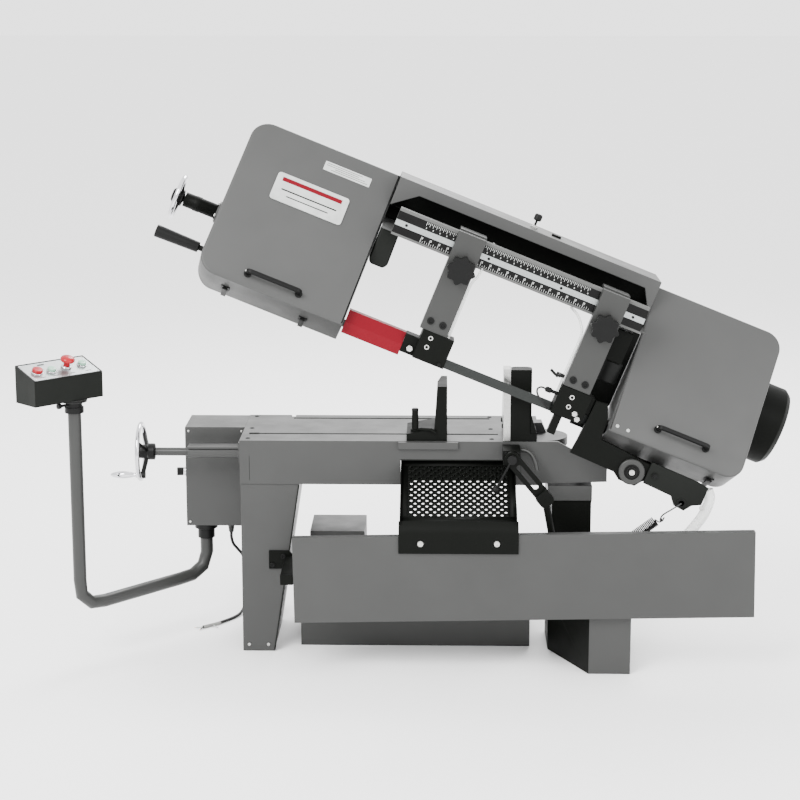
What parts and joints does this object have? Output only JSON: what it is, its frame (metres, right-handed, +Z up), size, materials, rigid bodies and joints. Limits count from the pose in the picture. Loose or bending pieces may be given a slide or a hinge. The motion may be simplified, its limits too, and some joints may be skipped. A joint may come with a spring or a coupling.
{
  "type": "horizontal mitring band saw",
  "caption": "Floor-standing horizontal band saw: tilting head with wheel cases, blade and guides on a swivel arm, screw vise, chip chute, coolant tank and operator console.",
  "frame": {"origin": "under the middle of the machine's bounding box, on the floor, without the mains lead", "axes": "+X to the operator's right along the bed, +Y away from the operator, +Z up"},
  "size_m": [2.1912, 0.6675, 1.514],
  "materials": {
    "grey_paint": "satin grey powder coat",
    "dark_paint": "satin black paint with a fine texture",
    "cast_iron": "machined and painted grey",
    "black_plastic": "matt black",
    "red_plastic": "gloss red",
    "clear_plastic": "pale green lens",
    "chrome": "polished",
    "steel": "ground, fine grain",
    "blade_steel": "blued spring steel with oil",
    "red_paint": "gloss red",
    "clear_hose": "clear soft hose",
    "rubber": "matt black sheath"
  },
  "bodies": {
    "base": {"bed": "grey_paint", "left_leg": "grey_paint", "pedestal": "dark_paint", "splash_panel": "grey_paint", "chip_chute": "dark_paint", "coolant_tank": "dark_paint", "tank_lid": "grey_paint", "coolant_pump": "cast_iron", "electrical_box": "grey_paint", "arm_collar": "black_plastic", "fixed_jaw_face": "steel", "fixed_jaw": "dark_paint", "stop_bracket": "dark_paint", "mains_lead": "rubber", "mains_lead_coil": "rubber", "mains_lead_end": "rubber"},
    "swivel": {"swivel_arm": "cast_iron", "counter_spring": "steel"},
    "head": {"left_case": "grey_paint", "right_case": "grey_paint", "head_beam": "grey_paint", "guide_rail": "grey_paint", "hinge_frame": "dark_paint", "spring_bracket": "grey_paint", "drain_hose": "clear_hose", "gearbox": "cast_iron", "motor": "dark_paint", "pull_handle": "black_plastic", "blade": "blade_steel"},
    "left_cover": {"left_cover": "grey_paint", "left_cover_handle": "black_plastic"},
    "right_cover": {"right_cover": "grey_paint", "right_cover_handle": "black_plastic"},
    "left_latch_1": {"left_latch_1": "black_plastic"},
    "left_latch_2": {"left_latch_2": "black_plastic"},
    "right_latch": {"right_latch": "black_plastic"},
    "left_arm": {"left_guide_arm": "grey_paint", "left_guide_block": "dark_paint", "blade_guard": "red_paint"},
    "right_arm": {"right_guide_arm": "grey_paint", "right_guide_block": "dark_paint"},
    "left_arm_knob": {"left_arm_knob": "black_plastic"},
    "right_arm_knob": {"right_arm_knob": "black_plastic"},
    "chip_brush": {"chip_brush": "steel"},
    "tension_wheel": {"tension_wheel": "black_plastic"},
    "idler_carriage": {"idler_carriage": "cast_iron"},
    "idler_wheel": {"idler_wheel": "cast_iron"},
    "drive_wheel": {"drive_wheel": "cast_iron"},
    "vise_handwheel": {"vise_handwheel": "chrome"},
    "handwheel_grip": {"handwheel_grip": "chrome"},
    "vise_jaw": {"vise_jaw": "dark_paint"},
    "main_switch": {"main_switch": "black_plastic"},
    "console_arm": {"console_arm": "grey_paint"},
    "console": {"console_box": "dark_paint"},
    "stop_button": {"stop_button": "red_plastic"},
    "start_button": {"start_button": "clear_plastic"},
    "lamp_button": {"lamp_button": "clear_plastic"},
    "emergency_stop": {"emergency_stop": "red_plastic"},
    "stop_arm": {"stop_arm": "dark_paint"},
    "stop_lever": {"stop_lever": "black_plastic"}
  },
  "joints": [
    {"name": "mitre_swivel", "type": "hinge", "parent": "base", "child": "swivel", "pos_m": [0.3594, 0.0021, 0.56], "axis": [0, 0, 1], "range_deg": [0, 45]},
    {"name": "head_lift", "type": "hinge", "parent": "swivel", "child": "head", "pos_m": [0.6074, -0.0779, 0.564], "axis": [0, 1, 0], "range_deg": [-22, 18], "deforming": ["counter_spring"]},
    {"name": "left_cover_hinge", "type": "hinge", "parent": "head", "child": "left_cover", "pos_m": [-0.25581, 0.11478, 1.41194], "axis": [-0.9272, 0, 0.3746], "range_deg": [0, 95]},
    {"name": "right_cover_hinge", "type": "hinge", "parent": "head", "child": "right_cover", "pos_m": [0.85653, 0.10578, 0.94571], "axis": [-0.9272, 0, 0.3746], "range_deg": [0, 95]},
    {"name": "left_latch_1_turn", "type": "hinge", "parent": "left_cover", "child": "left_latch_1", "pos_m": [-0.52622, -0.14398, 1.06834], "axis": [0.3244, 0.5, 0.803], "range_deg": [0, 90]},
    {"name": "left_latch_2_turn", "type": "hinge", "parent": "left_cover", "child": "left_latch_2", "pos_m": [-0.31296, -0.14398, 0.98218], "axis": [0.3244, 0.5, 0.803], "range_deg": [0, 90]},
    {"name": "right_latch_turn", "type": "hinge", "parent": "right_cover", "child": "right_latch", "pos_m": [0.82571, -0.14098, 0.52773], "axis": [0.3244, 0.5, 0.803], "range_deg": [0, 90]},
    {"name": "left_arm_slide", "type": "slide", "parent": "head", "child": "left_arm", "axis": [0.9272, 0, -0.3746], "range_m": [0, 0.16]},
    {"name": "right_arm_slide", "type": "slide", "parent": "head", "child": "right_arm", "axis": [0.9272, 0, -0.3746], "range_m": [-0.12, 0]},
    {"name": "left_knob_turn", "type": "hinge", "parent": "left_arm", "child": "left_arm_knob", "pos_m": [0.12785, -0.1829, 1.13092], "axis": [0, 1, 0], "range_deg": [0, 180]},
    {"name": "right_knob_turn", "type": "hinge", "parent": "right_arm", "child": "right_arm_knob", "pos_m": [0.52283, -0.1829, 0.97134], "axis": [0, 1, 0], "range_deg": [0, 180]},
    {"name": "brush_turn", "type": "hinge", "parent": "head", "child": "chip_brush", "pos_m": [0.48627, -0.1329, 0.65393], "axis": [0, 1, 0], "continuous": true},
    {"name": "tension_turn", "type": "hinge", "parent": "head", "child": "tension_wheel", "pos_m": [-0.66918, 0.01902, 1.30979], "axis": [0.9272, 0, -0.3746], "range_deg": [0, 720]},
    {"name": "carriage_slide", "type": "slide", "parent": "head", "child": "idler_carriage", "axis": [0.9272, 0, -0.3746], "range_m": [-0.001, 0.0085]},
    {"name": "drive_wheel_turn", "type": "hinge", "parent": "head", "child": "drive_wheel", "pos_m": [0.78217, -0.03381, 0.75631], "axis": [-0.1873, 0.866, -0.4636], "continuous": true},
    {"name": "idler_wheel_turn", "type": "hinge", "parent": "idler_carriage", "child": "idler_wheel", "pos_m": [-0.33787, -0.03381, 1.20883], "axis": [-0.1873, 0.866, -0.4636], "continuous": true},
    {"name": "vise_screw_turn", "type": "hinge", "parent": "base", "child": "vise_handwheel", "pos_m": [-0.7916, 0.0031, 0.573], "axis": [1, 0, 0], "range_deg": [-14400, 9240]},
    {"name": "vise_jaw_slide", "type": "slide", "parent": "base", "child": "vise_jaw", "axis": [1, 0, 0], "range_m": [-0.2402, 0.1545]},
    {"name": "grip_turn", "type": "hinge", "parent": "vise_handwheel", "child": "handwheel_grip", "pos_m": [-0.8306, 0.0031, 0.503], "axis": [1, 0, 0], "continuous": true},
    {"name": "switch_turn", "type": "hinge", "parent": "base", "child": "main_switch", "pos_m": [-0.6856, 0.1171, 0.486], "axis": [1, 0, 0], "range_deg": [0, 90]},
    {"name": "console_arm_turn", "type": "hinge", "parent": "base", "child": "console_arm", "pos_m": [-0.6206, 0.1171, 0.3], "axis": [0, 0, 1], "range_deg": [-45, 45]},
    {"name": "console_turn", "type": "hinge", "parent": "console_arm", "child": "console", "pos_m": [-0.9456, -0.1879, 0.768], "axis": [0, 0, 1], "range_deg": [-60, 60]},
    {"name": "stop_press", "type": "slide", "parent": "console", "child": "stop_button", "axis": [-0.2279, 0.2279, -0.9466], "range_m": [0, 0.004], "stiffness_N_per_m": 400},
    {"name": "start_press", "type": "slide", "parent": "console", "child": "start_button", "axis": [-0.2279, 0.2279, -0.9466], "range_m": [0, 0.004], "stiffness_N_per_m": 400},
    {"name": "lamp_press", "type": "slide", "parent": "console", "child": "lamp_button", "axis": [-0.2279, 0.2279, -0.9466], "range_m": [0, 0.004], "stiffness_N_per_m": 400},
    {"name": "emergency_press", "type": "slide", "parent": "console", "child": "emergency_stop", "axis": [-0.2279, 0.2279, -0.9466], "range_m": [0, 0.006], "stiffness_N_per_m": 800},
    {"name": "stop_arm_turn", "type": "hinge", "parent": "base", "child": "stop_arm", "pos_m": [0.2734, -0.1479, 0.6], "axis": [0, 1, 0], "range_deg": [-50, 20]},
    {"name": "stop_lever_turn", "type": "hinge", "parent": "base", "child": "stop_lever", "pos_m": [0.2734, -0.1479, 0.6], "axis": [0, 1, 0], "range_deg": [-30, 30]}
  ],
  "couplings": [
    {"joint": "carriage_slide", "follows": "tension_turn", "m_per_rad": 0.00063662},
    {"joint": "idler_wheel_turn", "follows": "drive_wheel_turn", "ratio": 1},
    {"joint": "vise_jaw_slide", "follows": "vise_screw_turn", "m_per_rad": 0.00095493}
  ]
}
